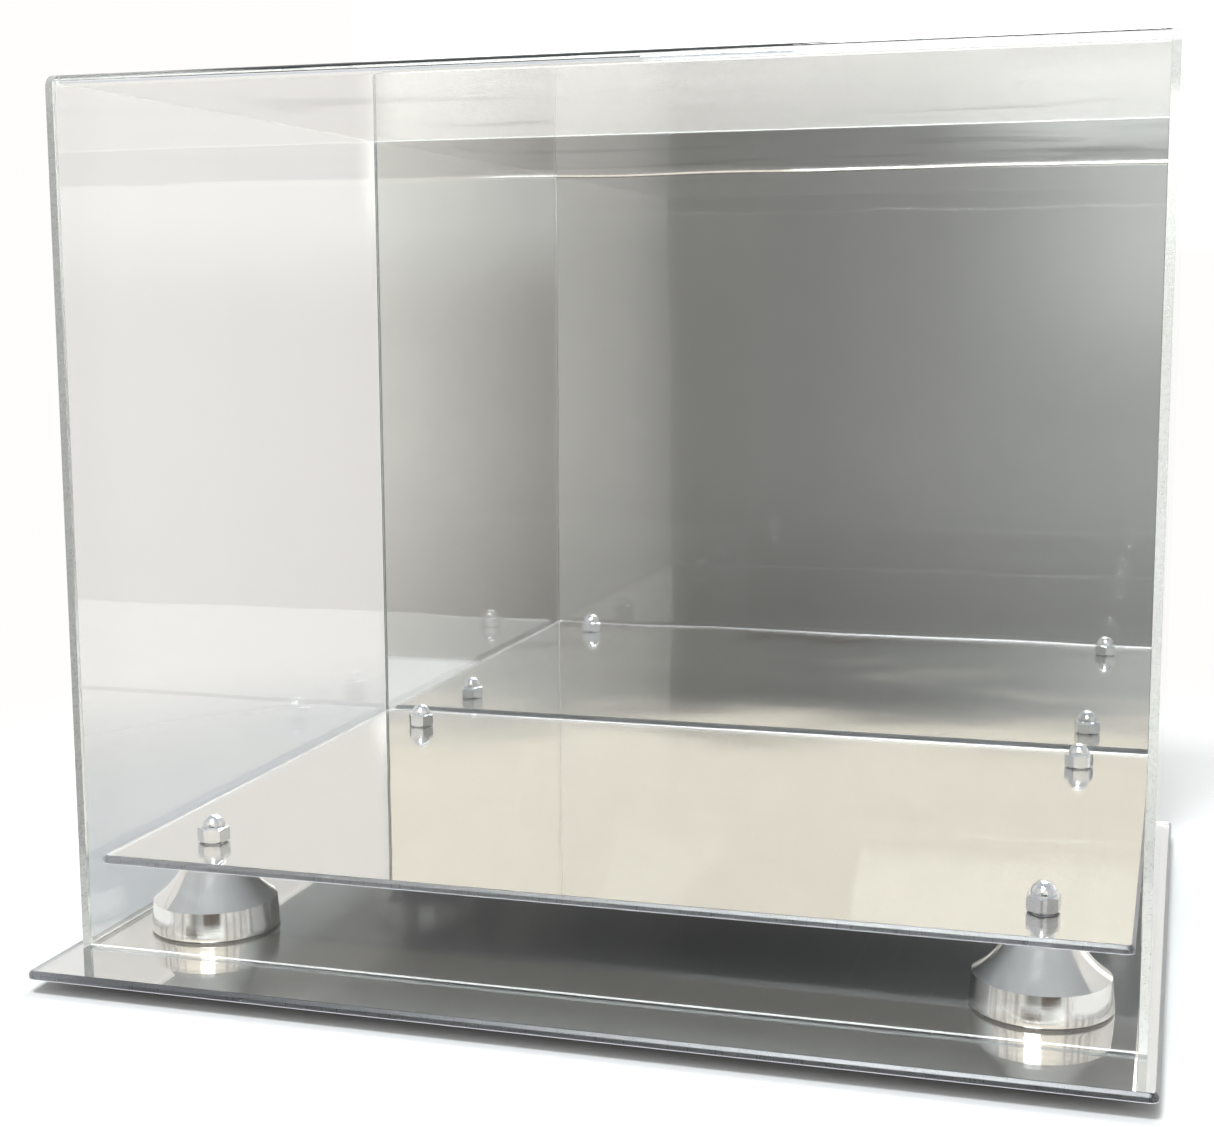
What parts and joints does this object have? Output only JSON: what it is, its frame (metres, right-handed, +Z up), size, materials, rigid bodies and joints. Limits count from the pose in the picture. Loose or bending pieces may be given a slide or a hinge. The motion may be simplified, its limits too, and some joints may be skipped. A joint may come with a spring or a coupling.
{
  "type": "helmet display case",
  "caption": "Free-standing clear case with a lift-off cover, a mirrored back and a raised mirrored platform on bell-shaped risers, for one full-size helmet.",
  "frame": {"origin": "middle of the base plate's outline, on the surface that the feet stand on", "axes": "+X across the case to the viewer's right, +Y from the front lip to the mirrored back, +Z up"},
  "size_m": [0.4064, 0.3302, 0.3381],
  "materials": {
    "clear_acrylic": "clear, polished faces and saw-cut edges",
    "mirror_coating": "silvering seen through the sheet, grey protective paint behind",
    "polished_silver": "mirror polished, bright silver",
    "chrome_fastener": "bright nickel and chrome plate",
    "zinc_steel": "bright zinc plate",
    "foot_rubber": "soft matte bumper"
  },
  "bodies": {
    "base": {"base_plate": "clear_acrylic", "base_mirror_coating": "mirror_coating", "platform_plate": "clear_acrylic", "platform_mirror_coating": "mirror_coating", "riser_front_left": "polished_silver", "washer_front_left": "zinc_steel", "screw_front_left": "zinc_steel", "cap_nut_front_left": "chrome_fastener", "riser_front_right": "polished_silver", "washer_front_right": "zinc_steel", "screw_front_right": "zinc_steel", "cap_nut_front_right": "chrome_fastener", "riser_back_left": "polished_silver", "washer_back_left": "zinc_steel", "screw_back_left": "zinc_steel", "cap_nut_back_left": "chrome_fastener", "riser_back_right": "polished_silver", "washer_back_right": "zinc_steel", "screw_back_right": "zinc_steel", "cap_nut_back_right": "chrome_fastener", "foot_front_left": "foot_rubber", "foot_front_right": "foot_rubber", "foot_back_left": "foot_rubber", "foot_back_right": "foot_rubber"},
    "cover": {"cover_front_top_panel": "clear_acrylic", "cover_left_panel": "clear_acrylic", "cover_right_panel": "clear_acrylic", "cover_back_panel": "clear_acrylic", "cover_back_mirror_coating": "mirror_coating"}
  },
  "joints": [
    {"name": "cover_lift", "type": "slide", "parent": "base", "child": "cover", "axis": [0, 0, 1], "range_m": [0, 0.3]}
  ]
}
